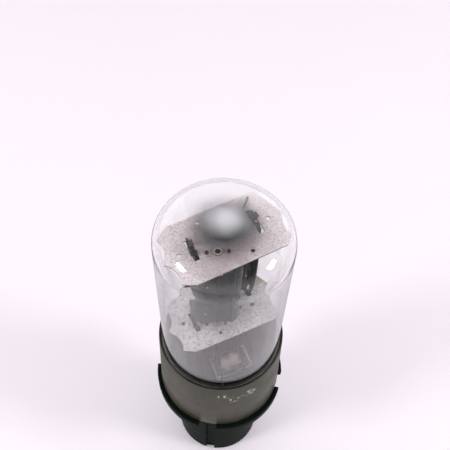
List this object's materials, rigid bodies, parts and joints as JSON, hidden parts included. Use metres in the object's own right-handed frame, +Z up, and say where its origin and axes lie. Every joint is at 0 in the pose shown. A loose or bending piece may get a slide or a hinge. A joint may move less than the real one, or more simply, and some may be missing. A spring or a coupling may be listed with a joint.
{
  "type": "octal vacuum tube in socket",
  "caption": "Glass radio tube with two triode systems between mica plates, on an octal base that plugs into a flanged in-line socket.",
  "frame": {"origin": "centre of the socket's bottom face, on the surface that it stands on", "axes": "+Z up the tube's axis, +X along the long side of the mica plates and towards the spigot's key"},
  "size_m": [0.0356, 0.0356, 0.1116],
  "materials": {
    "bulb_glass": "clear, polished",
    "stem_glass": "clear, slightly grey",
    "getter_film": "silvery mirror with a dark brown edge",
    "mica": "sprayed white mica, speckled",
    "anode_black": "carbon-blackened nickel sheet, satin",
    "nickel": "nickel wire and strip",
    "nickel_dark": "fired getter pan, darkened",
    "grid_wire": "fine drawn wire",
    "cathode_nickel": "nickel sleeve with white oxide",
    "heater_white": "white alumina coating",
    "copper": "copper-plated sheet",
    "lead_wire": "copper-clad lead wire",
    "base_olive": "moulded phenolic, olive-brown, worn",
    "cement_dark": "dark basing cement",
    "phenolic_brown": "dark brown phenolic",
    "phenolic_black": "moulded black phenolic",
    "pin_tinned": "nickel-plated brass, solder at the tip",
    "contact_bronze": "spring bronze",
    "screw_steel": "zinc-plated steel",
    "grommet_rubber": "black rubber"
  },
  "bodies": {
    "socket": {"socket_body": "phenolic_black", "socket_cap": "phenolic_black", "cap_screws": "screw_steel", "cable_grommet": "grommet_rubber", "contact_1": "contact_bronze", "contact_2": "contact_bronze", "contact_3": "contact_bronze", "contact_4": "contact_bronze", "contact_5": "contact_bronze", "contact_6": "contact_bronze", "contact_7": "contact_bronze", "contact_8": "contact_bronze"},
    "tube": {"glass_bulb": "bulb_glass", "getter_film": "getter_film", "getter_pan": "nickel_dark", "getter_support": "nickel", "top_mica": "mica", "bottom_mica": "mica", "front_anode": "anode_black", "rear_anode": "anode_black", "front_grid": "grid_wire", "rear_grid": "grid_wire", "front_cathode": "cathode_nickel", "rear_cathode": "cathode_nickel", "front_heater": "heater_white", "rear_heater": "heater_white", "heater_links": "nickel", "trough_frame": "nickel", "copper_trough": "copper", "trough_posts": "nickel", "glass_stem": "stem_glass", "exhaust_tube": "stem_glass", "base_sleeve": "base_olive", "base_cement": "cement_dark", "pin_wafer": "phenolic_brown", "pin_1": "pin_tinned", "pin_2": "pin_tinned", "pin_3": "pin_tinned", "pin_4": "pin_tinned", "pin_5": "pin_tinned", "pin_6": "pin_tinned", "pin_7": "pin_tinned", "pin_8": "pin_tinned", "lead_1": "lead_wire", "lead_2": "lead_wire", "lead_3": "lead_wire", "lead_4": "lead_wire", "lead_5": "lead_wire", "lead_6": "lead_wire", "lead_7": "lead_wire", "lead_8": "lead_wire"}
  },
  "joints": [
    {"name": "tube_pull", "type": "slide", "parent": "socket", "child": "tube", "axis": [0, 0, 1], "range_m": [0, 0.015]}
  ]
}
